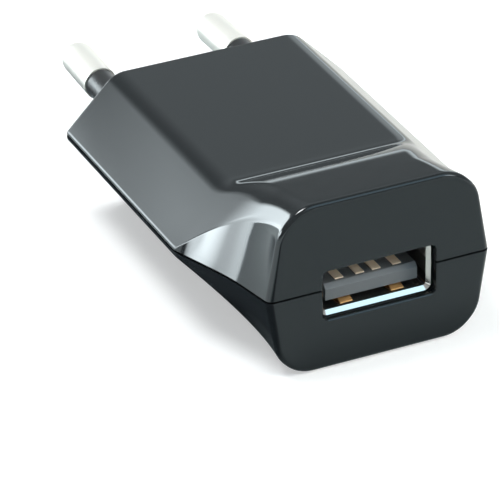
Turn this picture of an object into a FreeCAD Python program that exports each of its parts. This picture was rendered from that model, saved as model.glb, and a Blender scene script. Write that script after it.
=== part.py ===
import FreeCAD, Part
import math
import os
from collections import namedtuple

V = FreeCAD.Vector

# A USB wall charger with a flat two-pin mains plug.
#
# Frame, in millimetres: the plug face is the plane y = 0 and the pins point to +Y. The two halves
# of the housing meet on the plane z = 0, which also holds the pin axes. The USB face looks to -Y.
# "Depth" is the distance from the plug face towards the USB face, so y = -depth.

# ---- housing: overall form --------------------------------------------------------------------
BODY_LENGTH = 45.4
BODY_WIDTH = 35.3  # at the parting line, plug end
WALL = 1.6
REAR_WALL = 2.0
FRONT_WALL = 1.8
EDGE_WALL = 0.45  # upright strip on each side of the parting line, plug end
REAR_EDGE_BREAK = 0.3
FRONT_EDGE_ROUND = 0.7
STATION_PITCH = 1.5  # spacing of the cross-sections that shape the outside
CAVITY_STATION_PITCH = 4.0
ROUND_STEPS = 3

# Places on the length are measured from the USB face, so that a longer body gets a longer handle.
SIDE_BEND_BACK = 14.9  # where the sides start to close in
SIDE_BEND_SOFT = 0.9
WAIST_BEND_BACK = 6.8  # where they straighten again
WAIST_BEND_SOFT = 2.0
WAIST_HALF_WIDTH = 14.7
FRONT_HALF_WIDTH = 13.3
CREASE_POWER = 2.3  # how fast the crease climbs from the parting line at the bend
CREASE_ROUND_REAR = 0.7
CREASE_ROUND_FRONT = 4.4
SHOULDER_ROUND_REAR = 3.4

# Heights are measured away from the parting plane. The lip is where the ramp eases off.
UPPER_FLAT = 6.65
UPPER_RAMP_BACK = 15.4
UPPER_RAMP_SOFT = 1.3
UPPER_LIP = 8.2
UPPER_LIP_BACK = 12.0
UPPER_LIP_SOFT = 2.0
UPPER_FRONT = 10.95
UPPER_CREASE = 8.2  # the crease between side wall and flank, at the USB face
UPPER_CREASE_X = 12.1
UPPER_SHOULDER_ROUND = 5.4
LOWER_FLAT = 6.45
LOWER_RAMP_BACK = 17.9
LOWER_RAMP_SOFT = 3.0
LOWER_LIP = 9.05
LOWER_LIP_BACK = 4.2
LOWER_LIP_SOFT = 2.0
LOWER_FRONT = 9.85
LOWER_CREASE = 7.3
LOWER_CREASE_X = 12.3
LOWER_SHOULDER_ROUND = 4.8

# ---- housing: seam and ribs -------------------------------------------------------------------
SEAM_GAP = 0.3  # height of the shadow groove round the parting line
SEAM_DEPTH = 0.45
LIP_HEIGHT = 0.7
LIP_THICKNESS = 0.5
LIP_CLEARANCE = 0.05
RIB = 1.0
RIB_OFFSET = 5.0
RIB_CLEARANCE = 0.05
POST_SIZE = 2.0  # square posts between the board and the flats
POST_INSET = 4.0  # of the first and last posts, from the board's ends
POST_EDGE_INSET = 3.4
STOP_SIZE = 1.4
STOP_EDGE_INSET = 1.9
SOCKET_BAR_INSET = 4.2  # of the bar over the socket, from the socket's rear

# ---- plug -------------------------------------------------------------------------------------
PIN_PITCH = 18.6  # at the plug face
PIN_TIP_PITCH = 17.5
PIN_LENGTH = 19.0
PIN_DIAMETER = 4.0
PIN_BARE_LENGTH = 9.0
PIN_CORE_DIAMETER = 2.8
PIN_TAIL_DIAMETER = 1.8
PIN_TAIL_LENGTH = 1.0
SLEEVE_DIAMETER = 3.66
COLLAR_DIAMETER = 5.4
COLLAR_LENGTH = 3.2  # proud of the plug face
COLLAR_CHAMFER = 0.35
RECESS_RADIUS = 3.5
RECESS_DEPTH = 1.2
INSERT_CLEARANCE = 0.08
FLANGE_RADIUS = 4.2
FLANGE_THICKNESS = 1.4
STRIP_GAP = 0.06  # lets the leaning pin shoulder clear the upright strip
STRIP_THICKNESS = 0.4
STRIP_HEAD = 1.3  # from the pin axis to each side and down
STRIP_TOP = 1.5  # above the pin axis
STRIP_LEG = 1.4
STRIP_FOOT = 1.8

# ---- circuit board ----------------------------------------------------------------------------
BOARD_THICKNESS = 1.0
BOARD_REAR_GAP = 0.5  # behind the ribs that hold the plug insert
BOARD_FRONT_GAP = 0.2
BOARD_SIDE_GAP = 0.4
BOARD_MARGIN = 0.1  # of the parts along the board's sides
PART_GAP = 0.3
LEAD_THICKNESS = 0.45
LEAD_RUN = 0.7

# ---- USB receptacle ---------------------------------------------------------------------------
PORT_WIDTH = 13.7  # opening in the housing
PORT_HEIGHT = 6.1
PORT_CORNER = 0.8
PORT_Z = -0.67
PORT_CLEARANCE = 0.1
SOCKET_WIDTH = 12.5  # inside the metal shell
SOCKET_HEIGHT = 5.12
SOCKET_LENGTH = 13.6
SOCKET_SHEET = 0.3
SOCKET_FLARE = 0.45
SOCKET_SETBACK = 0.1
SOCKET_BASE = 4.0
TONGUE_WIDTH = 11.1
TONGUE_THICKNESS = 1.84
TONGUE_FLOOR_GAP = 0.7
TONGUE_SETBACK = 2.0
TONGUE_CHAMFER = 0.5
CONTACT_WIDTH = 1.0
CONTACT_THICKNESS = 0.25
CONTACT_PROUD = 0.15
CONTACT_SETBACK = 0.8
CONTACT_RUN = 1.0  # behind the socket, before the leaves turn down
CONTACT_INNER_OFFSET = 1.0
CONTACT_OUTER_OFFSET = 3.5
FINGER_LENGTH = 5.0
FINGER_WIDTH = 1.8
FINGER_SLOT = 0.35
FINGER_BEND = 0.45
FINGER_SETBACK = 3.0
FINGER_OFFSET = 3.1

# ---- parts on the board -----------------------------------------------------------------------
BULK_DIAMETER = 6.3
BULK_LEAD_PITCH = 2.5
OUTPUT_CAN_CLEARANCE = 0.45  # between the can and the socket's side
OUTPUT_CAN_LENGTH = 6.6
OUTPUT_CAN_LEAD_PITCH = 1.2
OUTPUT_CAN_INSET = 2.0  # from the socket's rear
CORE_WIDTH = 10.2
CORE_LENGTH = 9.0
CORE_HEIGHT = 5.4
CORE_BACK = 1.7
CORE_LEG = 1.3
CORE_CENTRE_LEG = 2.6
COIL_CLEARANCE = 0.2  # between the coil and the core's outer legs
COIL_HEIGHT = 7.2
COIL_STAND = 0.4  # under the coil
BOBBIN_WALL = 0.5
BOBBIN_CLEARANCE = 0.05
TAPE_THICKNESS = 0.15
TAPE_HEIGHT = 3.6
RESISTOR_DIAMETER = 2.2
RESISTOR_LENGTH = 3.6
RESISTOR_STAND = 0.2
BRIDGE_THICKNESS = 1.6
BRIDGE_LENGTH = 4.8
BRIDGE_HEIGHT = 4.0
BRIDGE_STAND = 0.8
CHOKE_DIAMETER = 3.4
CHOKE_DRUM_DIAMETER = 2.7
CHOKE_HEIGHT = 3.6
CHOKE_FLANGE = 0.6
CHIP_WIDTH = 2.0
CHIP_LENGTH = 4.0
CHIP_HEIGHT = 1.3
CHIP_LEAD_WIDTH = 0.4
DIODE_WIDTH = 1.6
DIODE_LENGTH = 3.6
DIODE_HEIGHT = 1.7
DIODE_LEAD_WIDTH = 1.4
GULL_REACH = 0.5  # of a surface-mount lead from its package
GULL_THICKNESS = 0.18
SWITCH_DIAMETER = 3.0
SWITCH_FLAT = 1.0
SWITCH_HEIGHT = 4.0
SWITCH_STAND = 1.3
SWITCH_LEAD_PITCH = 0.8
DISC_DIAMETER = 5.0
DISC_THICKNESS = 2.0
DISC_STAND = 0.8
DISC_LEAD_PITCH = 3.0
SMD_LENGTH = 2.0
SMD_WIDTH = 1.25
SMD_HEIGHT = 0.5
SMD_PITCH = 4.0

# ---- values worked out from the ones above ----------------------------------------------------
SQRT2 = math.sqrt(2)
FLANK = BODY_WIDTH / 2 + EDGE_WALL  # |x| + |z| on the 45 degree flanks of the plug end
SIDE_BEND = BODY_LENGTH - SIDE_BEND_BACK
WAIST_BEND = BODY_LENGTH - WAIST_BEND_BACK
TOE_IN = math.degrees(math.atan((PIN_PITCH - PIN_TIP_PITCH) / 2 / PIN_LENGTH))
SOCKET_OUTER_WIDTH = SOCKET_WIDTH + 2 * SOCKET_SHEET
SOCKET_OUTER_HEIGHT = SOCKET_HEIGHT + 2 * SOCKET_SHEET
SOCKET_REAR = BODY_LENGTH - SOCKET_LENGTH
SOCKET_FRONT = BODY_LENGTH - SOCKET_SETBACK
TONGUE_TOP = PORT_Z - SOCKET_HEIGHT / 2 + TONGUE_FLOOR_GAP + TONGUE_THICKNESS
CONTACT_PLACES = (-CONTACT_OUTER_OFFSET, -CONTACT_INNER_OFFSET, CONTACT_INNER_OFFSET, CONTACT_OUTER_OFFSET)
BOARD_TOP = PORT_Z - SOCKET_OUTER_HEIGHT / 2
BOARD_BOTTOM = BOARD_TOP - BOARD_THICKNESS
FLANGE_BACK = REAR_WALL + FLANGE_THICKNESS
BOARD_START = FLANGE_BACK + RIB + BOARD_REAR_GAP
BOARD_END = BODY_LENGTH - FRONT_WALL - BOARD_FRONT_GAP
BOARD_HALF_WIDTH = FLANK - WALL * SQRT2 + BOARD_BOTTOM - BOARD_SIDE_GAP
PARTS_EDGE = BOARD_HALF_WIDTH - BOARD_MARGIN
OUTPUT_CAN_DIAMETER = PARTS_EDGE - SOCKET_OUTER_WIDTH / 2 - OUTPUT_CAN_CLEARANCE
STRIP_END = BOARD_START + STRIP_GAP + STRIP_THICKNESS + STRIP_FOOT
CORE_END = SOCKET_REAR - CONTACT_RUN - PART_GAP - TAPE_THICKNESS
CORE_START = CORE_END - CORE_LENGTH
COIL_WIDTH = CORE_WIDTH - 2 * (CORE_LEG + COIL_CLEARANCE)
COIL_Z = BOARD_TOP + COIL_STAND + COIL_HEIGHT / 2
CHOKE_END = BOARD_START + PART_GAP + CHOKE_DIAMETER
BULK_START = CHOKE_END + PART_GAP
BULK_END = CORE_START - TAPE_THICKNESS - PART_GAP - LEAD_RUN - LEAD_THICKNESS / 2


# ---- helpers ----------------------------------------------------------------------------------
def block(x0, x1, depth0, depth1, z0, z1):
    return Part.makeBox(x1 - x0, depth1 - depth0, z1 - z0, V(x0, -depth1, z0))


def rod(radius, start, end):
    return Part.makeCylinder(radius, (end - start).Length, start, end - start)


def prism(edges, depth0, depth1):
    """Extrude a closed outline in the plane y = 0 between two depths."""
    face = Part.Face(Part.Wire(edges))
    solid = face.extrude(V(0, depth0 - depth1, 0))
    solid.translate(V(0, -depth0, 0))
    return solid


def rounded_outline(width, height, radius, z_centre):
    """Edges of a rounded rectangle in the plane y = 0."""
    half, tall = width / 2, height / 2
    bevel = radius * (1 - 1 / SQRT2)
    edges = []
    corners = ((1, 1), (-1, 1), (-1, -1), (1, -1))
    for i, (sx, sz) in enumerate(corners):
        on_side = V(sx * half, 0, z_centre + sz * (tall - radius))
        on_top = V(sx * (half - radius), 0, z_centre + sz * tall)
        middle = V(sx * (half - bevel), 0, z_centre + sz * (tall - bevel))
        first, last = (on_side, on_top) if sx == sz else (on_top, on_side)
        edges.append(Part.Arc(first, middle, last).toShape())
        nx, nz = corners[(i + 1) % 4]
        if sz == nz:
            after = V(nx * (half - radius), 0, z_centre + nz * tall)
        else:
            after = V(nx * half, 0, z_centre + nz * (tall - radius))
        edges.append(Part.makeLine(last, after))
    return edges


def rounded_bar(width, height, radius, z_centre, depth0, depth1):
    return prism(rounded_outline(width, height, radius, z_centre), depth0, depth1)


def stadium(radius, depth0, depth1):
    """A bar with round ends, one round each pin."""
    half = PIN_PITCH / 2
    edges = []
    for side in (1, -1):
        foot, top = V(side * half, 0, -side * radius), V(side * half, 0, side * radius)
        edges.append(Part.Arc(foot, V(side * (half + radius), 0, 0), top).toShape())
        edges.append(Part.makeLine(top, V(-side * half, 0, side * radius)))
    return prism(edges, depth0, depth1)


def fused(first, *others):
    return first.multiFuse(list(others)).removeSplitter() if others else first


# ---- housing form -----------------------------------------------------------------------------
Half = namedtuple("Half", "side flat ramp_at ramp_soft lip lip_at lip_soft front crease crease_x shoulder")
UPPER = Half(
    1, UPPER_FLAT, BODY_LENGTH - UPPER_RAMP_BACK, UPPER_RAMP_SOFT,
    UPPER_LIP, BODY_LENGTH - UPPER_LIP_BACK, UPPER_LIP_SOFT,
    UPPER_FRONT, UPPER_CREASE, UPPER_CREASE_X, UPPER_SHOULDER_ROUND,
)
LOWER = Half(
    -1, LOWER_FLAT, BODY_LENGTH - LOWER_RAMP_BACK, LOWER_RAMP_SOFT,
    LOWER_LIP, BODY_LENGTH - LOWER_LIP_BACK, LOWER_LIP_SOFT,
    LOWER_FRONT, LOWER_CREASE, LOWER_CREASE_X, LOWER_SHOULDER_ROUND,
)


def ramp(depth, start, soft):
    """Nought before start and depth - start after it, with a bend 2 * soft long in between."""
    past = depth - start
    if past <= -soft:
        return 0.0
    if past >= soft:
        return past
    return (past + soft) ** 2 / (4 * soft)


def half_width(depth):
    """Half the width of the housing at the parting line."""
    first = (BODY_WIDTH / 2 - WAIST_HALF_WIDTH) / (WAIST_BEND - SIDE_BEND)
    second = (WAIST_HALF_WIDTH - FRONT_HALF_WIDTH) / WAIST_BEND_BACK
    closed = first * ramp(depth, SIDE_BEND, SIDE_BEND_SOFT)
    eased = (first - second) * ramp(depth, WAIST_BEND, WAIST_BEND_SOFT)
    return BODY_WIDTH / 2 - closed + eased


def height(half, depth):
    """Height of a half's flat, measured from the parting plane."""
    first = (half.lip - half.flat) / (half.lip_at - half.ramp_at)
    second = (half.front - half.lip) / (BODY_LENGTH - half.lip_at)
    climbed = first * ramp(depth, half.ramp_at, half.ramp_soft)
    eased = (first - second) * ramp(depth, half.lip_at, half.lip_soft)
    return half.flat + climbed - eased


def forward(depth):
    """Share of the way from the side bend to the USB face."""
    return min(max((depth - SIDE_BEND) / (BODY_LENGTH - SIDE_BEND), 0), 1)


def corners(half, depth, inset):
    """The three corners of a half section as (x, height): parting line, crease and shoulder.

    The side wall, the 45 degree flank and the flat are each moved in by inset.
    """
    share = forward(depth)
    crease = EDGE_WALL + (half.crease - EDGE_WALL) * (1 - (1 - share) ** CREASE_POWER)
    flank = FLANK + (half.crease + half.crease_x - FLANK) * share**2
    base = half_width(depth)
    lean = (base - (flank - crease)) / crease
    foot = base - inset * math.hypot(1, lean)
    flank_in = flank - inset * SQRT2
    rise = max((flank_in - foot) / (1 - lean), EDGE_WALL / 3)
    foot = flank_in - rise * (1 - lean)
    top = height(half, depth) - inset
    return (foot, 0.0), (flank_in - rise, rise), (flank_in - top, top)


def rounded_corner(before, corner, after, radius, room):
    """Start, middle and end of the arc that rounds a corner, kept within room on both edges."""
    a = V(*before) - V(*corner)
    b = V(*after) - V(*corner)
    turn = math.pi - a.getAngle(b)
    reach = min(radius * math.tan(turn / 2), room)
    radius = reach / math.tan(turn / 2)
    a.normalize()
    b.normalize()
    middle = (a + b).normalize() * (radius / math.cos(turn / 2) - radius)
    return [V(*corner) + step for step in (a * reach, middle, b * reach)]


def section(half, depth, inset, rounded=True):
    """The closed outline of one half of the housing at a depth."""
    foot, crease, shoulder = (V(x, 0, z) for x, z in corners(half, depth, inset))

    def placed(p, side):
        return V(side * p.x, -depth, half.side * p.z)

    if not rounded:
        right = [placed(p, 1) for p in (foot, crease, shoulder)]
        left = [placed(p, -1) for p in (shoulder, crease, foot)]
        return Part.makePolygon(right + left + right[:1])

    top = V(0, 0, shoulder.z)
    share = forward(depth)
    crease_round = CREASE_ROUND_REAR + (CREASE_ROUND_FRONT - CREASE_ROUND_REAR) * share - inset
    shoulder_round = SHOULDER_ROUND_REAR + (half.shoulder - SHOULDER_ROUND_REAR) * share - inset
    wall, flank = (crease - foot).Length, (shoulder - crease).Length
    low = rounded_corner(foot, crease, shoulder, crease_round, min(wall, flank / 2) * 0.9)
    high = rounded_corner(crease, shoulder, top, shoulder_round, flank / 2)
    edges = []
    for side in (1, -1):
        a, b, c, d, e, f, g = (placed(p, side) for p in [foot, *low, *high])
        edges += [
            Part.makeLine(a, b),
            Part.Arc(b, c, d).toShape(),
            Part.makeLine(d, e),
            Part.Arc(e, f, g).toShape(),
        ]
        if side > 0:
            edges.append(Part.makeLine(g, placed(high[-1], -1)))
    edges.append(Part.makeLine(placed(foot, -1), placed(foot, 1)))
    return Part.Wire(edges[:5] + edges[8:4:-1] + edges[9:])


def form(half, inset, depth0, depth1, pitch):
    """A solid half of the housing form: straight at the plug end, then ruled from station to station.

    Without an inset it is the outside, whose edge at the USB face is rounded over by ever more
    inset sections and whose edge at the plug face is broken. With one it is the cavity.
    """
    outside = inset == 0
    rounding = FRONT_EDGE_ROUND if outside else 0
    straight_to = min(half.ramp_at - half.ramp_soft, SIDE_BEND - SIDE_BEND_SOFT)
    run = depth1 - rounding - straight_to
    count = math.ceil(run / pitch)
    wires = [section(half, straight_to + run * i / count, inset, outside) for i in range(count + 1)]
    solids = []
    if outside:
        wires += [rounded_end(half, depth1, i) for i in range(1, ROUND_STEPS + 1)]
        broken = [section(half, 0, REAR_EDGE_BREAK), section(half, REAR_EDGE_BREAK, 0)]
        solids.append(Part.makeLoft(broken, True, True))
        depth0 = REAR_EDGE_BREAK
    straight = Part.Face(section(half, depth0, inset, outside)).extrude(V(0, depth0 - straight_to, 0))
    return fused(straight, Part.makeLoft(wires, True, True), *solids)


def rounded_end(half, end, step):
    """The cross-section at one step of the quarter round that ends the form."""
    turn = math.pi / 2 * step / ROUND_STEPS
    inset = FRONT_EDGE_ROUND * (1 - math.cos(turn))
    return section(half, end - FRONT_EDGE_ROUND * (1 - math.sin(turn)), inset)


def plan(inset, z0, z1):
    """A slab with the outline of the parting line, moved in by inset."""
    bend, end = SIDE_BEND - SIDE_BEND_SOFT, BODY_LENGTH - inset
    count = math.ceil((end - bend) / STATION_PITCH)
    right = [V(BODY_WIDTH / 2 - inset, -inset, z0)]
    for i in range(count + 1):
        depth = bend + (end - bend) * i / count
        right.append(V(half_width(depth) - inset, -depth, z0))
    left = [V(-p.x, p.y, z0) for p in reversed(right)]
    outline = Part.makePolygon(right + left + right[:1])
    return Part.Face(outline).extrude(V(0, 0, z1 - z0))


def hollow_half(half):
    """One half of the housing as an open shell, its two ends eased."""
    outer = form(half, 0, 0, BODY_LENGTH, STATION_PITCH)
    return outer.cut(form(half, WALL, REAR_WALL, BODY_LENGTH - FRONT_WALL, CAVITY_STATION_PITCH))


def in_wall(half, depth):
    """Height of the middle of the flat's wall, where ribs and posts end."""
    return half.side * (height(half, depth) - WALL / 2)


def rib(half, x0, x1, depth0, depth1, z):
    """A rib or a square post from z to the middle of the flat's wall."""
    low, high = sorted((z, in_wall(half, depth0)))
    return block(x0, x1, depth0, depth1, low, high)


def flange_ribs(half):
    """Ribs that hold the plug insert's flange against the end wall."""
    near, far = FLANGE_BACK + RIB_CLEARANCE, FLANGE_BACK + RIB
    z = half.side * (FLANGE_RADIUS - RIB)
    places = (-RIB_OFFSET - RIB, RIB_OFFSET)
    return [rib(half, x, x + RIB, near, far, z) for x in places]


def posts(half, size, x_inset, start, z):
    """A pair of square posts between a half's flat and the board."""
    outer = BOARD_HALF_WIDTH - x_inset + size
    right = rib(half, outer - size, outer, start, start + size, z)
    left = rib(half, -outer, size - outer, start, start + size, z)
    return [left, right]


def port_opening():
    start = BODY_LENGTH - 2 * FRONT_WALL
    return rounded_bar(PORT_WIDTH, PORT_HEIGHT, PORT_CORNER, PORT_Z, start, BODY_LENGTH + FRONT_WALL)


def plug_recess():
    return stadium(RECESS_RADIUS, -REAR_WALL, REAR_WALL)


def upper_housing():
    wide, long = BODY_WIDTH, BODY_LENGTH + FRONT_WALL
    groove = block(-wide, wide, -REAR_WALL, long, 0, SEAM_GAP).cut(plan(SEAM_DEPTH, 0, SEAM_GAP))
    rebate = plan(WALL - LIP_THICKNESS - LIP_CLEARANCE, 0, LIP_HEIGHT + LIP_CLEARANCE)
    shell = hollow_half(UPPER).cut(groove).cut(rebate)
    bar_start = SOCKET_REAR + SOCKET_BAR_INSET
    bar_bottom = PORT_Z + SOCKET_OUTER_HEIGHT / 2 + RIB_CLEARANCE
    bar = rib(UPPER, -RIB_OFFSET, RIB_OFFSET, bar_start, bar_start + RIB, bar_bottom)
    stops = posts(UPPER, STOP_SIZE, STOP_EDGE_INSET, SOCKET_REAR - STOP_SIZE / 2, BOARD_TOP + RIB_CLEARANCE)
    shell = fused(shell, bar, *stops, *flange_ribs(UPPER))
    return shell.cut([port_opening(), plug_recess()])


def lower_housing():
    lip = plan(WALL - LIP_THICKNESS, -LIP_HEIGHT, LIP_HEIGHT).cut(plan(WALL, -LIP_HEIGHT, LIP_HEIGHT))
    seats = []
    for start in (BOARD_START + POST_INSET, CORE_START, BOARD_END - POST_INSET):
        seats += posts(LOWER, POST_SIZE, POST_EDGE_INSET, start, BOARD_BOTTOM)
    shell = fused(hollow_half(LOWER), lip, *seats, *flange_ribs(LOWER))
    return shell.cut([port_opening(), plug_recess()])


# ---- plug -------------------------------------------------------------------------------------
def on_pin_axis(shape, side):
    """Move a shape made on the Y axis to a pin. The pins lean towards each other a little."""
    shape.rotate(V(0, 0, 0), V(0, 0, 1), side * TOE_IN)
    shape.translate(V(side * PIN_PITCH / 2, 0, 0))
    return shape


def turned(points, nose=False):
    """Revolve an outline of (radius, y) points about the Y axis. A nose ends it in a quarter round."""
    vectors = [V(r, y, 0) for r, y in points]
    edges = [Part.makeLine(a, b) for a, b in zip(vectors, vectors[1:] + vectors[:1])]
    if nose:
        rim, tip = vectors[-2], vectors[-1]
        bow = rim.x / SQRT2
        edges[-2] = Part.Arc(rim, V(bow, rim.y + bow, 0), tip).toShape()
    return Part.Face(Part.Wire(edges)).revolve(V(0, 0, 0), V(0, 1, 0), 360)


def pin(side):
    core, tail, tip = PIN_CORE_DIAMETER / 2, PIN_TAIL_DIAMETER / 2, PIN_DIAMETER / 2
    bare = PIN_LENGTH - PIN_BARE_LENGTH
    outline = [
        (0, -BOARD_START - PIN_TAIL_LENGTH),
        (tail, -BOARD_START - PIN_TAIL_LENGTH),
        (tail, -BOARD_START),
        (core, -BOARD_START),
        (core, bare),
        (tip, bare),
        (tip, PIN_LENGTH - tip),
        (0, PIN_LENGTH),
    ]
    return on_pin_axis(turned(outline, nose=True), side)


def pin_sleeve(side):
    core, outer, bare = PIN_CORE_DIAMETER / 2, SLEEVE_DIAMETER / 2, PIN_LENGTH - PIN_BARE_LENGTH
    outline = [(core, -FLANGE_BACK), (outer, -FLANGE_BACK), (outer, bare), (core, bare)]
    return on_pin_axis(turned(outline), side)


def pin_hole(radius, side):
    """A cutter along a pin's axis, through everything."""
    ends = (-BODY_LENGTH, PIN_LENGTH)
    return on_pin_axis(turned([(0, ends[0]), (radius, ends[0]), (radius, ends[1]), (0, ends[1])]), side)


def plug_insert():
    """The moulding that carries the pins: a face in the recess, a flange behind it and two collars."""
    face = stadium(RECESS_RADIUS - INSERT_CLEARANCE, RECESS_DEPTH, REAR_WALL)
    body = fused(face, stadium(FLANGE_RADIUS, REAR_WALL, FLANGE_BACK))
    outer, root, end = COLLAR_DIAMETER / 2, -REAR_WALL, COLLAR_LENGTH
    collar = [
        (0, root),
        (outer, root),
        (outer, end - COLLAR_CHAMFER),
        (outer - COLLAR_CHAMFER, end),
        (0, end),
    ]
    body = fused(body, *[on_pin_axis(turned(collar), side) for side in (-1, 1)])
    return body.cut([pin_hole(SLEEVE_DIAMETER / 2, side) for side in (-1, 1)])


def contact_strip(side):
    """A brass strip riveted to a pin's tail: a head, a narrower leg and a foot on the board."""
    near = BOARD_START + STRIP_GAP
    far = near + STRIP_THICKNESS
    axis = PIN_PITCH / 2 + near * math.tan(math.radians(TOE_IN))
    inner, outer = axis - STRIP_HEAD, axis + STRIP_HEAD
    pieces_of_strip = (
        (inner, outer, far, -STRIP_HEAD, STRIP_TOP),
        (inner, inner + STRIP_LEG, far, BOARD_TOP, -STRIP_HEAD),
        (inner, inner + STRIP_LEG, STRIP_END, BOARD_TOP, BOARD_TOP + STRIP_THICKNESS),
    )
    solids = []
    for a, b, end, low, high in pieces_of_strip:
        x0, x1 = sorted((side * a, side * b))
        solids.append(block(x0, x1, near, end, low, high))
    return fused(*solids).cut(pin_hole(PIN_TAIL_DIAMETER / 2, side))


# ---- USB receptacle ---------------------------------------------------------------------------
def flare(width0, height0, width1, height1, radius):
    """The widening mouth of the receptacle's shell, as a solid."""
    rims = []
    neck = SOCKET_FRONT - SOCKET_FLARE
    for width, tall, depth in ((width0, height0, neck), (width1, height1, SOCKET_FRONT)):
        rim = Part.Wire(rounded_outline(width, tall, radius, PORT_Z))
        rim.translate(V(0, -depth, 0))
        rims.append(rim)
    return Part.makeLoft(rims, True, True)


def usb_shell():
    neck = SOCKET_FRONT - SOCKET_FLARE
    outer_round = PORT_CORNER - PORT_CLEARANCE
    inner_round = outer_round - SOCKET_SHEET
    mouth = (PORT_WIDTH - 2 * PORT_CLEARANCE, PORT_HEIGHT - 2 * PORT_CLEARANCE)
    mouth_inside = (mouth[0] - SOCKET_SHEET, mouth[1] - SOCKET_SHEET)
    outer, inner = (SOCKET_OUTER_WIDTH, SOCKET_OUTER_HEIGHT), (SOCKET_WIDTH, SOCKET_HEIGHT)
    tube = rounded_bar(*outer, outer_round, PORT_Z, SOCKET_REAR, neck)
    hole = rounded_bar(*inner, inner_round, PORT_Z, SOCKET_REAR, neck)
    tube = fused(tube, flare(*outer, *mouth, outer_round))
    shell = tube.cut(fused(hole, flare(*inner, *mouth_inside, inner_round)))
    for x in (-FINGER_OFFSET, FINGER_OFFSET):
        for side in (-1, 1):
            shell = fused(shell.cut(finger_window(x, side)), finger(x, side))
    return shell


def finger_window(x, side):
    start = SOCKET_FRONT - FINGER_SETBACK
    half = FINGER_WIDTH / 2 + FINGER_SLOT
    middle = PORT_Z + side * (SOCKET_HEIGHT + SOCKET_SHEET) / 2
    low, high = middle - SOCKET_SHEET, middle + SOCKET_SHEET
    return block(x - half, x + half, start - FINGER_LENGTH, start, low, high)


def finger(x, side):
    """A spring finger cut from the shell's sheet and bent inwards, joined at its rear end."""
    start = SOCKET_FRONT - FINGER_SETBACK
    half, thin = FINGER_WIDTH / 2, SOCKET_SHEET * 0.4
    root_overlap = SOCKET_SHEET / 3
    leaf = block(
        x - half, x + half, start - FINGER_LENGTH - root_overlap, start - FINGER_SLOT, -thin, thin
    )
    tilt = math.degrees(math.atan(FINGER_BEND / FINGER_LENGTH))
    leaf.rotate(V(x, FINGER_LENGTH - start, 0), V(1, 0, 0), side * tilt)
    leaf.translate(V(0, 0, PORT_Z + side * (SOCKET_HEIGHT + SOCKET_SHEET) / 2))
    return leaf


def usb_insulator():
    """The plastic base and tongue, with the grooves that hold the contacts."""
    low, high = PORT_Z - SOCKET_HEIGHT / 2, PORT_Z + SOCKET_HEIGHT / 2
    front = SOCKET_FRONT - TONGUE_SETBACK
    half = SOCKET_WIDTH / 2
    base = block(-half, half, SOCKET_REAR, SOCKET_REAR + SOCKET_BASE, low, high)
    upright = [e for e in base.Edges if e.BoundBox.YLength > SOCKET_BASE / 2]
    base = base.makeFillet(PORT_CORNER - PORT_CLEARANCE - SOCKET_SHEET, upright)
    half, low = TONGUE_WIDTH / 2, TONGUE_TOP - TONGUE_THICKNESS
    tongue = block(-half, half, SOCKET_REAR, front, low, TONGUE_TOP)
    at_nose = TONGUE_CHAMFER - front
    nose = [e for e in tongue.Edges if e.BoundBox.YMax < at_nose and e.BoundBox.XLength > half]
    nose = [e for e in nose if e.BoundBox.ZMin > low + TONGUE_CHAMFER]
    body = fused(base, tongue.makeChamfer(TONGUE_CHAMFER, nose))
    return body.cut([usb_contact(x) for x in CONTACT_PLACES])


def usb_contact(x):
    """A leaf in its groove on the tongue, run out of the back and down to the board."""
    back = SOCKET_REAR - CONTACT_RUN
    front = SOCKET_FRONT - TONGUE_SETBACK - CONTACT_SETBACK
    top = TONGUE_TOP + CONTACT_PROUD
    low, high = x - CONTACT_WIDTH / 2, x + CONTACT_WIDTH / 2
    leaf = block(low, high, back, front, top - CONTACT_THICKNESS, top)
    tail = block(low, high, back, back + CONTACT_THICKNESS, BOARD_TOP, top)
    return fused(leaf, tail)


def usb_contacts():
    return Part.makeCompound([usb_contact(x) for x in CONTACT_PLACES])


# ---- parts on the board -----------------------------------------------------------------------
def circuit_board():
    return block(-BOARD_HALF_WIDTH, BOARD_HALF_WIDTH, BOARD_START, BOARD_END, BOARD_BOTTOM, BOARD_TOP)


def bent_lead(x, depth, z, run):
    """A wire from a component's end, out by run and then down to the board."""
    half = LEAD_THICKNESS / 2
    near, far = sorted((depth, depth + run + math.copysign(half, run)))
    wire = block(x - half, x + half, near, far, z - half, z + half)
    down = block(x - half, x + half, depth + run - half, depth + run + half, BOARD_TOP, z + half)
    return fused(wire, down)


def lead_pair(x, depth, z, pitch, across):
    """Two straight wires down to the board, side by side across the board or along it."""
    half = LEAD_THICKNESS / 2
    wires = []
    for shift in (-pitch / 2, pitch / 2):
        wire_x, wire_depth = (x + shift, depth) if across else (x, depth + shift)
        wires.append(
            block(wire_x - half, wire_x + half, wire_depth - half, wire_depth + half, BOARD_TOP, z)
        )
    return wires


def can_capacitor(diameter, length, x, depth, lead_pitch, lead_run):
    """A small electrolytic lying on the board: rolled can with a crimped neck and two wires.

    The wires leave its far end when lead_run is positive, its near end when it is negative.
    """
    radius = diameter / 2
    crimp = radius * 0.14
    can = turned(
        [
            (0, 0),
            (radius, 0),
            (radius, length * 0.84),
            (radius - crimp, length * 0.885),
            (radius, length * 0.93),
            (radius, length),
            (0, length),
        ]
    )
    if lead_run > 0:
        can.rotate(V(0, 0, 0), V(0, 0, 1), 180)
        face = depth + length
        can.translate(V(x, -depth, BOARD_TOP + radius))
    else:
        face = depth
        can.translate(V(x, -depth - length, BOARD_TOP + radius))
    places = (x - lead_pitch / 2, x + lead_pitch / 2)
    return fused(can, *[bent_lead(place, face, BOARD_TOP + radius, lead_run) for place in places])


def bulk_capacitor(side):
    x = side * (BULK_DIAMETER + PART_GAP) / 2
    length = BULK_END - BULK_START
    return can_capacitor(BULK_DIAMETER, length, x, BULK_START, BULK_LEAD_PITCH, LEAD_RUN)


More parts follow.
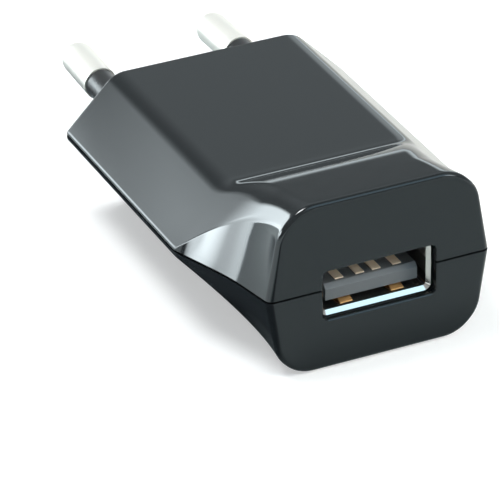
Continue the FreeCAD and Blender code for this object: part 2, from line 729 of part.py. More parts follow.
def output_capacitor():
    x = PARTS_EDGE - OUTPUT_CAN_DIAMETER / 2
    depth = SOCKET_REAR + OUTPUT_CAN_INSET
    return can_capacitor(OUTPUT_CAN_DIAMETER, OUTPUT_CAN_LENGTH, x, depth, OUTPUT_CAN_LEAD_PITCH, -LEAD_RUN)


def fusible_resistor():
    """A resistor with wires on its axis, lying along the board's edge."""
    radius, length = RESISTOR_DIAMETER / 2, RESISTOR_LENGTH
    waist = radius * 0.86
    x, z = PARTS_EDGE - radius, BOARD_TOP + RESISTOR_STAND + radius
    near = STRIP_END + PART_GAP + LEAD_RUN + LEAD_THICKNESS / 2
    body = turned(
        [
            (0, 0),
            (radius, 0),
            (radius, length * 0.25),
            (waist, length * 0.3),
            (waist, length * 0.7),
            (radius, length * 0.75),
            (radius, length),
            (0, length),
        ]
    )
    body.translate(V(x, -near - length, z))
    return fused(body, bent_lead(x, near + length, z, LEAD_RUN), bent_lead(x, near, z, -LEAD_RUN))


def transformer_core():
    """Two E halves meeting at the middle of the coil."""
    low, high = COIL_Z - CORE_HEIGHT / 2, COIL_Z + CORE_HEIGHT / 2
    middle = CORE_START + CORE_LENGTH / 2
    spans = (
        (CORE_START, middle, CORE_START + CORE_BACK, middle),
        (middle, CORE_END, middle, CORE_END - CORE_BACK),
    )
    halves = []
    for first, last, near, far in spans:
        half = block(-CORE_WIDTH / 2, CORE_WIDTH / 2, first, last, low, high)
        for side in (-1, 1):
            x0, x1 = sorted((side * CORE_CENTRE_LEG / 2, side * (CORE_WIDTH / 2 - CORE_LEG)))
            half = half.cut(block(x0, x1, near, far, low, high))
        halves.append(half)
    return Part.makeCompound(halves)


def coil_ring(wall, width, height, near, far):
    """A rectangular ring round the core's centre leg, wall clear of it all round."""
    hole_width = CORE_CENTRE_LEG + 2 * wall
    hole_height = CORE_HEIGHT + 2 * wall
    outer = block(-width / 2, width / 2, near, far, COIL_Z - height / 2, COIL_Z + height / 2)
    hole = block(
        -hole_width / 2, hole_width / 2, near, far, COIL_Z - hole_height / 2, COIL_Z + hole_height / 2
    )
    return outer.cut(hole)


def transformer_bobbin():
    near = CORE_START + CORE_BACK + BOBBIN_CLEARANCE
    far = CORE_END - CORE_BACK - BOBBIN_CLEARANCE
    outside = BOBBIN_CLEARANCE + BOBBIN_WALL
    tube_width = CORE_CENTRE_LEG + 2 * outside
    tube_height = CORE_HEIGHT + 2 * outside
    rings = [coil_ring(BOBBIN_CLEARANCE, tube_width, tube_height, near, far)]
    rail_top = COIL_Z - CORE_HEIGHT / 2 - BOBBIN_CLEARANCE
    for start in (near, far - BOBBIN_WALL):
        end = start + BOBBIN_WALL
        rings.append(coil_ring(BOBBIN_CLEARANCE, COIL_WIDTH, COIL_HEIGHT, start, end))
        rings.append(block(-COIL_WIDTH / 2, COIL_WIDTH / 2, start, end, BOARD_TOP, rail_top))
    return fused(*rings)


def transformer_winding():
    wall = BOBBIN_CLEARANCE + BOBBIN_WALL
    margin = CORE_BACK + wall
    width, height = COIL_WIDTH - 2 * BOBBIN_WALL / 3, COIL_HEIGHT - BOBBIN_WALL / 3
    return coil_ring(wall, width, height, CORE_START + margin, CORE_END - margin)


def transformer_tape():
    """A band of tape round the core's outside."""
    half, t = CORE_WIDTH / 2, TAPE_THICKNESS
    low, high = COIL_Z - TAPE_HEIGHT / 2, COIL_Z + TAPE_HEIGHT / 2
    band = block(-half - t, half + t, CORE_START - t, CORE_END + t, low, high)
    return band.cut(block(-half, half, CORE_START, CORE_END, low, high))


def leaded_chip(x, depth, size, lead_count, lead_width):
    """A moulded package with a row of bent leads along each side in depth."""
    width, length, tall = size
    thick, reach = GULL_THICKNESS, GULL_REACH
    low, high = BOARD_TOP + thick / 2, BOARD_TOP + tall
    body = block(x - width / 2, x + width / 2, depth, depth + length, low, high)
    top = [e for e in body.Edges if e.BoundBox.ZMin > BOARD_TOP + tall * 0.9]
    body = body.makeChamfer(tall * 0.12, top)
    leads = []
    pitch = length / lead_count
    for i in range(lead_count):
        near = depth + pitch * (i + 0.5) - lead_width / 2
        for side in (-1, 1):
            root, knee = width / 2 - thick, width / 2 + reach / 2
            spans = (
                (root, knee, tall / 2, tall / 2 + thick),
                (knee - thick, knee, 0, tall / 2 + thick),
                (knee - thick, width / 2 + reach, 0, thick),
            )
            for a, b, z0, z1 in spans:
                x0, x1 = sorted((x + side * a, x + side * b))
                leads.append(block(x0, x1, near, near + lead_width, BOARD_TOP + z0, BOARD_TOP + z1))
    return fused(body, *leads)


def bridge_rectifier():
    """A flat package standing on four wires behind the left strip, opposite the resistor."""
    x = -PARTS_EDGE
    near = STRIP_END + PART_GAP
    low = BOARD_TOP + BRIDGE_STAND
    body = block(x, x + BRIDGE_THICKNESS, near, near + BRIDGE_LENGTH, low, low + BRIDGE_HEIGHT)
    pitch = BRIDGE_LENGTH / 4
    middle, wire_x = near + BRIDGE_LENGTH / 2, x + BRIDGE_THICKNESS / 2
    leads = lead_pair(wire_x, middle, low, pitch, False) + lead_pair(wire_x, middle, low, 3 * pitch, False)
    return fused(body, *leads)


def controller_ic():
    size = (CHIP_WIDTH, CHIP_LENGTH, CHIP_HEIGHT)
    x = PARTS_EDGE - GULL_REACH - CHIP_WIDTH / 2
    return leaded_chip(x, CORE_START, size, 4, CHIP_LEAD_WIDTH)


def output_diode():
    x = GULL_REACH + DIODE_WIDTH / 2 - PARTS_EDGE
    depth = SOCKET_REAR + OUTPUT_CAN_INSET
    return leaded_chip(x, depth, (DIODE_WIDTH, DIODE_LENGTH, DIODE_HEIGHT), 1, DIODE_LEAD_WIDTH)


def switching_transistor():
    """A small upright package with a flat front, on three wires."""
    radius, low = SWITCH_DIAMETER / 2, BOARD_TOP + SWITCH_STAND
    x, depth = radius - PARTS_EDGE, CORE_START + radius
    body = rod(radius, V(x, -depth, low), V(x, -depth, low + SWITCH_HEIGHT))
    flat = depth + radius - SWITCH_FLAT
    body = body.cut(block(x - radius, x + radius, flat, flat + radius, low, low + SWITCH_HEIGHT))
    half = LEAD_THICKNESS / 2
    middle = block(x - half, x + half, depth - half, depth + half, BOARD_TOP, low)
    return fused(body, middle, *lead_pair(x, depth, low, 2 * SWITCH_LEAD_PITCH, True))


def y_capacitor():
    """A ceramic disc on two wires, between the mains side and the output side."""
    radius = DISC_DIAMETER / 2
    x, z = DISC_THICKNESS / 2 - PARTS_EDGE, BOARD_TOP + DISC_STAND + radius
    depth = CORE_START + SWITCH_DIAMETER + PART_GAP + radius
    disc = rod(radius, V(x - DISC_THICKNESS / 2, -depth, z), V(x + DISC_THICKNESS / 2, -depth, z))
    return fused(disc, *lead_pair(x, depth, z, DISC_LEAD_PITCH, False))


def input_choke():
    """A drum choke: winding between two ferrite flanges, standing between the strips."""
    foot = V(0, CHOKE_DIAMETER / 2 - CHOKE_END, BOARD_TOP)
    top = foot + V(0, 0, CHOKE_HEIGHT)
    rim = V(0, 0, CHOKE_FLANGE)
    drum = rod(CHOKE_DRUM_DIAMETER / 2, foot, top)
    flanges = [rod(CHOKE_DIAMETER / 2, foot, foot + rim), rod(CHOKE_DIAMETER / 2, top - rim, top)]
    return fused(drum, *flanges)


def smd_chips():
    """Small resistors and capacitors on the underside, where the housing is deeper."""
    chips = []
    for row in (0, 1):
        depth = SOCKET_REAR + SMD_PITCH / 2 + row * SMD_PITCH
        for column in (-1.5, -0.5, 0.5, 1.5):
            x = column * SMD_PITCH - SMD_LENGTH / 2
            chips.append(
                block(x, x + SMD_LENGTH, depth, depth + SMD_WIDTH, BOARD_BOTTOM - SMD_HEIGHT, BOARD_BOTTOM)
            )
    return Part.makeCompound(chips)


# ---- write one file per piece -----------------------------------------------------------------
def pieces():
    return {
        "upper_housing": upper_housing(),
        "lower_housing": lower_housing(),
        "plug_insert": plug_insert(),
        "pin_left": pin(-1),
        "pin_right": pin(1),
        "pin_sleeve_left": pin_sleeve(-1),
        "pin_sleeve_right": pin_sleeve(1),
        "contact_strip_left": contact_strip(-1),
        "contact_strip_right": contact_strip(1),
        "circuit_board": circuit_board(),
        "usb_shell": usb_shell(),
        "usb_insulator": usb_insulator(),
        "usb_contacts": usb_contacts(),
        "transformer_core": transformer_core(),
        "transformer_bobbin": transformer_bobbin(),
        "transformer_winding": transformer_winding(),
        "transformer_tape": transformer_tape(),
        "bulk_capacitor_left": bulk_capacitor(-1),
        "bulk_capacitor_right": bulk_capacitor(1),
        "output_capacitor": output_capacitor(),
        "fusible_resistor": fusible_resistor(),
        "input_choke": input_choke(),
        "bridge_rectifier": bridge_rectifier(),
        "controller_ic": controller_ic(),
        "output_diode": output_diode(),
        "switching_transistor": switching_transistor(),
        "y_capacitor": y_capacitor(),
        "smd_chips": smd_chips(),
    }


os.makedirs("parts", exist_ok=True)
for name, shape in pieces().items():
    shape.exportStep(os.path.join("parts", name + ".step"))
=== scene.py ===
import bmesh
import bpy
import itertools
import math
from mathutils import Matrix, Vector


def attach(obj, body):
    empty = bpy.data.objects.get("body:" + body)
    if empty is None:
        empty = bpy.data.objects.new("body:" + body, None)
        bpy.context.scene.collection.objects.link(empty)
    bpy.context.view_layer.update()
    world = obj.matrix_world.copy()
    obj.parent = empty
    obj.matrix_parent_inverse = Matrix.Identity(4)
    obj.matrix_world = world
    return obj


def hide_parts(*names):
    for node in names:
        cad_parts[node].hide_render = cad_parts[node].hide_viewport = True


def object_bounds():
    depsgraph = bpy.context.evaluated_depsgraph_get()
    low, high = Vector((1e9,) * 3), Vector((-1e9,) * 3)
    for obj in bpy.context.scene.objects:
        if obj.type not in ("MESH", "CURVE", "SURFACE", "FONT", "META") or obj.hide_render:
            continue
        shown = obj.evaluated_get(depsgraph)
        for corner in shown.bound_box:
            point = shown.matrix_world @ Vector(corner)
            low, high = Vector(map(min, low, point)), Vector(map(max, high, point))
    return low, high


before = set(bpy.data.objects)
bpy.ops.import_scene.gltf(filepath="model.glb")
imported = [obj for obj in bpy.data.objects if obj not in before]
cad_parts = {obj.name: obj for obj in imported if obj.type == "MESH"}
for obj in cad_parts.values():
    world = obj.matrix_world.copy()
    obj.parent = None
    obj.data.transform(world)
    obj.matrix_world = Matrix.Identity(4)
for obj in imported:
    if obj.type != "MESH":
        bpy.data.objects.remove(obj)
cad_low, cad_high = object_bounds()
MM = 0.001
scene = bpy.context.scene
scene.view_settings.view_transform = "Standard"


# ---- Camera ---------------------------------------------------------------------------------
# A long lens, nearly half a metre away, that looks down on the charger from the left of its USB
# face. It is rolled by a degree.
AZIMUTH, ELEVATION, ROLL = math.radians(-24.6), math.radians(29.8), math.radians(-1.0)
CAMERA_SHIFT = (-5.38, -6.09)  # across and up, from the line through the middle of the body
CAMERA_DISTANCE = 447
SENSOR_WIDTH, LENS = 36, 287.8
camera_turn = (
    Matrix.Rotation(AZIMUTH, 4, "Z")
    @ Matrix.Rotation(math.pi / 2 - ELEVATION, 4, "X")
    @ Matrix.Rotation(ROLL, 4, "Z")
)
body_middle = Vector((0, -25, 0)) * MM
camera_place = body_middle + camera_turn @ (Vector((*CAMERA_SHIFT, CAMERA_DISTANCE)) * MM)
camera = bpy.data.objects.new("camera", bpy.data.cameras.new("camera"))
camera.matrix_world = Matrix.Translation(camera_place) @ camera_turn
camera.data.sensor_width = SENSOR_WIDTH
camera.data.lens = LENS
camera.data.clip_start, camera.data.clip_end = 0.05, 20
scene.collection.objects.link(camera)
scene.camera = camera


# ---- Table, room and lamps ------------------------------------------------------------------
# A white table in a pale room, with glowing cards for windows and lamps. The gloss of the charger
# mirrors the table too, and the colour that only the gloss sees is painted: dark close beside its
# left flank, as a painted shadow of the charger, and paler farther out, as painted light.
class Output:
    """An output of a shader node, with arithmetic."""

    def __init__(self, tree, out):
        self.tree, self.out = tree, out

    def math(self, operation, *values, clamp=False):
        settings = {"operation": operation, "use_clamp": clamp}
        return self.tree.node("ShaderNodeMath", settings, *values)

    def __add__(self, other):
        return self.math("ADD", self, other)

    def __sub__(self, other):
        return self.math("SUBTRACT", self, other)

    def __rsub__(self, other):
        return self.math("SUBTRACT", other, self)

    def __mul__(self, other):
        return self.math("MULTIPLY", self, other)

    __radd__, __rmul__ = __add__, __mul__

    def sin(self):
        return self.math("SINE", self)

    def absolute(self):
        return self.math("ABSOLUTE", self)

    def ramped(self, low, high):
        """0 below low, 1 above high."""
        return self.math("DIVIDE", self - low, high - low, clamp=True)


class Finish:
    """A material made from scratch. Its tree adds nodes and gives back their first output."""

    def __init__(self, name):
        self.material = bpy.data.materials.new(name)
        self.material.use_nodes = True
        self.nodes, self.links = self.material.node_tree.nodes, self.material.node_tree.links
        self.surface = self.nodes["Principled BSDF"]
        self.place = self.node("ShaderNodeTexCoord", out="Object")

    def node(self, kind, settings=None, *values, out=0, **named):
        """A node of a kind, with its settings first, and then values or links for its sockets."""
        made = self.nodes.new(kind)
        for key, value in (settings or {}).items():
            setattr(made, key, value)
        for key, value in [*enumerate(values), *named.items()]:
            self.feed(made.inputs[key.replace("_", " ") if isinstance(key, str) else key], value)
        return Output(self, made.outputs[out])

    def feed(self, socket, value):
        if isinstance(value, Output):
            self.links.new(value.out, socket)
        elif hasattr(value, "__len__") and len(value) == 3 and len(socket.default_value) == 4:
            socket.default_value = (*value, 1)
        else:
            socket.default_value = value

    def set(self, **named):
        for key, value in named.items():
            self.feed(self.surface.inputs[key.replace("_", " ")], value)

    def axis(self, letter):
        return self.node("ShaderNodeSeparateXYZ", None, self.place, out=letter)

    def noise(self, scale, detail, stretch=None):
        place = self.place
        if stretch:
            place = self.node("ShaderNodeMapping", None, place, Scale=stretch)
        sockets = {"Vector": place, "Scale": scale, "Detail": detail}
        return self.node("ShaderNodeTexNoise", None, **sockets)

    def mix(self, factor, first, second):
        made = self.nodes.new("ShaderNodeMix")
        made.data_type = "RGBA"
        for key, value in (("Factor", factor), ("A", first), ("B", second)):
            sockets = [s for s in made.inputs if s.name == key and s.enabled]
            self.feed(sockets[0], value)
        return Output(self, [s for s in made.outputs if s.enabled][0])

    def bump(self, height, strength, distance):
        sockets = {"Strength": strength, "Distance": distance, "Height": height}
        self.set(Normal=self.node("ShaderNodeBump", None, **sockets))

    def show(self, shader):
        """Sends a shader to the surface in place of the plain one."""
        self.links.new(shader.out, self.nodes["Material Output"].inputs["Surface"])


TABLE_SIZE, TABLE_GAP = 1.6, 0.2 * MM
TABLE_COLOUR, TABLE_GLOW = (0.62, 0.62, 0.62), 0.44  # for the camera, and white in all
# Painted shade and painted light: table colours that only the gloss sees, not colours the table
# has.
TABLE_PAINTED_SHADOW, TABLE_PAINTED_DIM_FRONT = (0.06, 0.07, 0.08), (0.38, 0.43, 0.44)  # for the gloss
TABLE_PAINTED_LIGHT_BEHIND, TABLE_PAINTED_LIGHT_FAR_LEFT = (0.62, 0.61, 0.58), (0.9, 0.98, 1.0)
bpy.ops.object.select_all(action="DESELECT")
bpy.ops.mesh.primitive_plane_add(size=TABLE_SIZE, location=(0, 0, cad_low.z - TABLE_GAP))
floor = bpy.context.object
floor.name = "floor"
table = Finish("white_table")
seen = table.node("ShaderNodeLightPath", out="Is Camera Ray")
# Painted shadow and painted light for the gloss: a painted shadow of the charger beside its left
# flank, a dimmer bluish painted tone in front, and painted light behind on the right and far to the
# left. The camera sees the table's own colour.
table_with_painted_light = table.mix(table.axis("X").ramped(-0.0145, -0.009), TABLE_PAINTED_SHADOW, TABLE_PAINTED_DIM_FRONT)
painted_light_behind = table.axis("X").ramped(0.012, 0.022) * table.axis("Y").ramped(-0.055, -0.04)
table_with_painted_light = table.mix(painted_light_behind, table_with_painted_light, TABLE_PAINTED_LIGHT_BEHIND)
table_with_painted_light = table.mix((table.axis("X") * -1).ramped(0.024, 0.04), table_with_painted_light, TABLE_PAINTED_LIGHT_FAR_LEFT)
table.set(Base_Color=table.mix(seen, table_with_painted_light, TABLE_COLOUR), Roughness=0.9, Specular_IOR_Level=0)
glow = table.node("ShaderNodeEmission", None, (1, 1, 1), seen * TABLE_GLOW)
table.show(table.node("ShaderNodeAddShader", None, Output(table, table.surface.outputs[0]), glow))
floor.data.materials.append(table.material)

# The room is brighter in some directions than in others, with soft edges between.
room = bpy.data.worlds.new("room")
scene.world = room
room.use_nodes = True


class Room:
    """The world's tree, with the same way of adding nodes as a finish."""

    node, feed, mix = Finish.node, Finish.feed, Finish.mix

    def __init__(self, world):
        self.nodes, self.links = world.node_tree.nodes, world.node_tree.links


def toward(azimuth, elevation):
    """The direction to a place in the room: azimuth 0 is ahead of the USB face, 90 to its right."""
    a, e = math.radians(azimuth), math.radians(elevation)
    return Vector((math.sin(a) * math.cos(e), -math.cos(a) * math.cos(e), math.sin(e)))


air = Room(room)
look = air.node("ShaderNodeTexCoord", out="Generated")


def glow_patch(azimuth, elevation, inner, outer):
    """1 within inner degrees of a direction, falling to 0 at outer degrees."""
    middle, settings = toward(azimuth, elevation), {"operation": "DOT_PRODUCT"}
    dot = air.node("ShaderNodeVectorMath", settings, look, middle, out="Value")
    return dot.ramped(math.cos(math.radians(outer)), math.cos(math.radians(inner)))


SKY, BLUE_SKY = (0.86, 0.96, 1.0), (0.5, 0.8, 1.0)
height = air.node("ShaderNodeSeparateXYZ", None, look, out="Z")
haze = 1 - height.ramped(0.03, 0.08)
level = haze * 1.6 + height.ramped(0.16, 0.36) * 0.25 + 0.16  # a bright band low down, and walls
level = level - height.ramped(0.75, 0.95) * 0.2  # a darker ceiling
level = level + glow_patch(158, 27, 4, 24) * 0.18 + glow_patch(140, 12, 4, 14)  # behind, right
level = level + glow_patch(44, 26, 3, 13) * 6  # a small bright window in front
blue = glow_patch(30, 50, 6, 26)
tint = air.mix(blue, SKY, BLUE_SKY)
walls = air.node("ShaderNodeBackground", None, tint, level + blue * 1.5)
white = air.node("ShaderNodeBackground", None, (1, 1, 1), 1.0)
seen = air.node("ShaderNodeLightPath", out="Is Camera Ray")
chosen = air.node("ShaderNodeMixShader", None, seen, walls, white)
air.links.new(chosen.out, air.nodes["World Output"].inputs["Surface"])


def card(name, place, size, soft, strength, colour, roll=0, on_table=False, in_gloss=True):
    """A glowing card that faces the charger, soft at its edges and unseen by the camera.

    Its place is an azimuth, an elevation and a distance. It lights the table, or shows in the
    gloss, or both.
    """
    azimuth, elevation, distance = place
    out = toward(azimuth, elevation)
    bpy.ops.mesh.primitive_plane_add(size=1)
    panel = bpy.context.object
    panel.name = name
    facing = out.to_track_quat("Z", "Y").to_matrix().to_4x4()
    turn = facing @ Matrix.Rotation(math.radians(roll), 4, "Z")
    panel.data.transform(Matrix.Diagonal((*size, 1, 1)))
    panel.matrix_world = Matrix.Translation(body_middle + out * distance) @ turn
    skin = Finish(name)
    edge_x, edge_y = (
        (side / 2 - skin.axis(letter).absolute()).ramped(0, soft)
        for letter, side in zip("XY", size)
    )
    shine = skin.node("ShaderNodeEmission", None, colour, edge_x * edge_y * strength)
    clear = skin.node("ShaderNodeBsdfTransparent")
    skin.show(skin.node("ShaderNodeAddShader", None, shine, clear))
    panel.data.materials.append(skin.material)
    panel.visible_camera = False
    panel.visible_diffuse = on_table
    panel.visible_glossy = in_gloss


WARM, COOL = (1.0, 0.95, 0.87), (0.97, 0.99, 1.0)
card("left_window", (-141, 6.9, 0.42), (0.56, 0.18), 0.024, 7.5, SKY, roll=4)
card("flank_glow", (-141, 20.4, 0.1235), (0.07, 0.07), 0.035, 3.2, SKY)
card("left_lamp", (-106, 15, 0.5), (0.24, 0.13), 0.03, 14, SKY)
card("right_lamp", (55, 33, 0.5), (0.13, 0.13), 0.03, 60, WARM, on_table=True, in_gloss=False)
card("key", (-125, 70, 0.8), (0.36, 0.36), 0.1, 26, COOL, on_table=True)


# ---- Housing ---------------------------------------------------------------------------------
# Two shells moulded in glossy black polycarbonate, with a fine-grained plug face, and welded
# together inside a shadow groove. They are straight at the plug end, and close in and thicken
# towards the USB end. Depths run from the plug face to the USB face, in millimetres.
LENGTH, WIDTH, EDGE = 45.4, 35.3, 0.45
SIDE_BEND, SIDE_SOFT = 30.5, 0.9
WAIST_BEND, WAIST_SOFT = 38.6, 2.0
WAIST_HALF, FRONT_HALF = 14.7, 13.3
FLANK = WIDTH / 2 + EDGE
CREASE_POWER = 2.3
CREASE_ROUNDS = (0.7, 4.4)
REAR_SHOULDER = 3.4
REAR_BREAK, FRONT_ROUND = 0.3, 0.7
STRAIGHT_END = 26.0  # every cross-section before this depth is the same
SKIN_PITCH, CAVITY_PITCH = 0.45, 2.0
GROOVE_HEIGHT, GROOVE_DEPTH, GROOVE_STATIONS = 0.25, 0.45, 40
WALL, REAR_WALL, FRONT_WALL = 1.6, 2.0, 1.8
HALF_OVERLAP = 0.05  # of the cavity's cutter past the parting line
PORT_WIDTH, PORT_HEIGHT, PORT_CORNER, PORT_Z = 13.7, 6.1, 0.8, -0.67
PORT_BREAK, PORT_CUT = 0.3, (40, 50)  # the bevel round the mouth, and the depths of the cut
PIN_PITCH, RECESS_RADIUS, RECESS_CUT = 18.6, 3.5, (-2, 5)
WALL_PARTS, CREASE_PARTS, FLANK_PARTS, SHOULDER_PARTS, FLAT_PARTS = 4, 12, 6, 16, 6
SMOOTH_UNDER = math.radians(30)
UPPER = dict(
    side=1, flat=6.65, ramp=30.0, ramp_soft=1.3, lip=8.2, lip_at=33.4, lip_soft=2.0, front=10.95,
    crease=8.2, crease_x=12.1, shoulder=5.4,
)
LOWER = dict(
    side=-1, flat=6.45, ramp=27.5, ramp_soft=3.0, lip=9.05, lip_at=41.2, lip_soft=2.0, front=9.85,
    crease=7.3, crease_x=12.3, shoulder=4.8,
)


def deselect():
    if bpy.context.object and bpy.context.object.mode != "OBJECT":
        bpy.ops.object.mode_set(mode="OBJECT")
    bpy.ops.object.select_all(action="DESELECT")


def pick(piece):
    deselect()
    piece.select_set(True)
    bpy.context.view_layer.objects.active = piece


def outward(piece):
    pick(piece)
    bpy.ops.object.mode_set(mode="EDIT")
    bpy.ops.mesh.select_all(action="SELECT")
    bpy.ops.mesh.normals_make_consistent(inside=False)
    bpy.ops.object.mode_set(mode="OBJECT")


def eased(depth, start, soft):
    """How far a depth is past a bend, with the bend itself rounded off."""
    past = depth - start
    if past <= -soft:
        return 0.0
    return past if past >= soft else (past + soft) ** 2 / (4 * soft)


def half_width(depth):
    """How far the parting line is from the middle."""
    first = (WIDTH / 2 - WAIST_HALF) / (WAIST_BEND - SIDE_BEND)
    second = (WAIST_HALF - FRONT_HALF) / (LENGTH - WAIST_BEND)
    bend = (first - second) * eased(depth, WAIST_BEND, WAIST_SOFT)
    return WIDTH / 2 - first * eased(depth, SIDE_BEND, SIDE_SOFT) + bend


def flat_height(half, depth):
    """How far the big flat face is from the parting plane."""
    first = (half["lip"] - half["flat"]) / (half["lip_at"] - half["ramp"])
    second = (half["front"] - half["lip"]) / (LENGTH - half["lip_at"])
    bend = (first - second) * eased(depth, half["lip_at"], half["lip_soft"])
    return half["flat"] + first * eased(depth, half["ramp"], half["ramp_soft"]) - bend


def arc(before, corner, after, radius, room, steps):
    """Points of the round between two edges that meet at a corner."""
    a, b = (before - corner).normalized(), (after - corner).normalized()
    turn = math.pi - a.angle(b)
    reach = min(radius * math.tan(turn / 2), room)
    radius = reach / math.tan(turn / 2)
    centre = corner + (a + b).normalized() * (radius / math.cos(turn / 2))
    start, end = corner + a * reach - centre, corner + b * reach - centre
    points = []
    for i in range(steps + 1):
        t = i / steps
        mixed = start * math.sin((1 - t) * turn) + end * math.sin(t * turn)
        points.append(centre + mixed / math.sin(turn))
    return points


def outline(half, depth, inset):
    """Half of one cross-section, from the parting line up the side to the middle of the flat."""
    share = min(max((depth - SIDE_BEND) / (LENGTH - SIDE_BEND), 0), 1)
    crease = EDGE + (half["crease"] - EDGE) * (1 - (1 - share) ** CREASE_POWER)
    flank = FLANK + (half["crease"] + half["crease_x"] - FLANK) * share**2
    base = half_width(depth)
    lean = (base - (flank - crease)) / crease
    foot_x = base - inset * math.hypot(1, lean)
    flank_in = flank - inset * math.sqrt(2)
    rise = max((flank_in - foot_x) / (1 - lean), EDGE / 3)
    foot = Vector((flank_in - rise * (1 - lean), 0))
    corner = Vector((flank_in - rise, rise))
    top = flat_height(half, depth) - inset
    shoulder = Vector((flank_in - top, top))
    middle = Vector((0, top))
    low_round = CREASE_ROUNDS[0] + (CREASE_ROUNDS[1] - CREASE_ROUNDS[0]) * share - inset
    high_round = REAR_SHOULDER + (half["shoulder"] - REAR_SHOULDER) * share - inset
    wall, slope = (corner - foot).length, (shoulder - corner).length
    low_arc = arc(foot, corner, shoulder, low_round, min(wall, slope / 2) * 0.9, CREASE_PARTS)
    high_arc = arc(corner, shoulder, middle, high_round, slope / 2, SHOULDER_PARTS)
    points = [foot.lerp(low_arc[0], i / WALL_PARTS) for i in range(WALL_PARTS)] + low_arc
    points += [low_arc[-1].lerp(high_arc[0], i / FLANK_PARTS) for i in range(1, FLANK_PARTS)]
    points += high_arc
    return points + [high_arc[-1].lerp(middle, i / FLAT_PARTS) for i in range(1, FLAT_PARTS + 1)]


def stations(end, pitch):
    """Evenly spaced depths from the end of the straight part."""
    count = math.ceil((end - STRAIGHT_END) / pitch)
    return [STRAIGHT_END + (end - STRAIGHT_END) * i / count for i in range(count + 1)]


def closed_piece(name, points, faces):
    """A piece from the points and faces of a closed shape, with its faces turned outward."""
    mesh = bpy.data.meshes.new(name)
    mesh.from_pydata(points, [], faces)
    piece = bpy.data.objects.new(name, mesh)
    scene.collection.objects.link(piece)
    outward(piece)
    return piece


def solid_from_sections(name, half, sections):
    """Half of the body as a closed solid, from (depth, inset) pairs."""
    points, faces = [], []
    for depth, inset in sections:
        right = outline(half, depth, inset)
        row = [Vector((-p.x, p.y)) for p in right[:-1]] + right[::-1]
        points += [(p.x * MM, -depth * MM, half["side"] * p.y * MM) for p in row]
    across = len(points) // len(sections)
    for i in range(len(sections) - 1):
        for j in range(across):
            k = (j + 1) % across
            a, b = i * across, (i + 1) * across
            faces.append((a + j, a + k, b + k, b + j))
    faces.append(tuple(range(across)))
    last = (len(sections) - 1) * across
    faces.append(tuple(last + j for j in range(across)))
    return closed_piece(name, points, faces)


def cut(piece, cutter):
    """Takes the shape of the cutter, which is used up, out of a piece."""
    pick(piece)
    modifier = piece.modifiers.new("cut", "BOOLEAN")
    modifier.operation = "DIFFERENCE"
    modifier.solver = "MANIFOLD"
    modifier.object = cutter
    bpy.ops.object.modifier_apply(modifier=modifier.name)
    bpy.data.objects.remove(cutter)


def slab(name, corners, near, far, far_corners=None):
    """A closed prism along depth from an outline of (x, z) points, or a taper between two."""
    count = len(corners)
    points = [(x * MM, -near * MM, z * MM) for x, z in corners]
    points += [(x * MM, -far * MM, z * MM) for x, z in far_corners or corners]
    faces = [(i, (i + 1) % count, count + (i + 1) % count, count + i) for i in range(count)]
    ends = [tuple(range(count)), tuple(range(count, 2 * count))]
    return closed_piece(name, points, faces + ends)


def port_outline(widening, steps=8):
    """The port's opening, with rounded corners, or the same line farther out."""
    radius = PORT_CORNER + widening
    x, z = PORT_WIDTH / 2 - PORT_CORNER, PORT_HEIGHT / 2 - PORT_CORNER
    points = []
    for quarter, (side, up) in enumerate(((1, 1), (-1, 1), (-1, -1), (1, -1))):
        for i in range(steps + 1):
            angle = math.pi / 2 * (quarter + i / steps)
            across, tall = radius * math.cos(angle), radius * math.sin(angle)
            points.append((side * x + across, PORT_Z + up * z + tall))
    return points


def recess_outline(steps=24):
    """The long round-ended opening that the plug insert fills."""
    points = []
    for side, start in ((1, -math.pi / 2), (-1, math.pi / 2)):
        for i in range(steps + 1):
            angle = start + math.pi * i / steps
            across, tall = RECESS_RADIUS * math.cos(angle), RECESS_RADIUS * math.sin(angle)
            points.append((side * PIN_PITCH / 2 + across, tall))
    return points


def groove_ring():
    """What the shadow groove takes from the upper shell: a band round the parting line."""
    rear, front = GROOVE_DEPTH, LENGTH - GROOVE_DEPTH
    side = [(WIDTH / 2 - GROOVE_DEPTH, rear)]
    for i in range(GROOVE_STATIONS + 1):
        depth = STRAIGHT_END + (front - STRAIGHT_END) * i / GROOVE_STATIONS
        side.append((half_width(depth) - GROOVE_DEPTH, depth))
    inner = side + [(-x, depth) for x, depth in reversed(side)]
    outer = []  # well clear of the shell, on every side
    for x, depth in inner:
        if depth == rear:
            depth = -3
        elif depth >= front - 0.5:
            depth = front + 4
        outer.append((x * 1.3, depth))
    count = len(inner)
    points = []
    for z in (-1, GROOVE_HEIGHT):
        for x, depth in inner + outer:
            points.append((x * MM, -depth * MM, z * MM))
    faces = []
    low_in, low_out, high_in, high_out = (count * i for i in range(4))
    for i in range(count):
        k = (i + 1) % count
        faces += [
            (low_in + i, low_in + k, low_out + k, low_out + i),
            (high_in + i, high_out + i, high_out + k, high_in + k),
            (low_in + i, high_in + i, high_in + k, low_in + k),
            (low_out + i, low_out + k, high_out + k, high_out + i),
        ]
    return closed_piece("groove", points, faces)


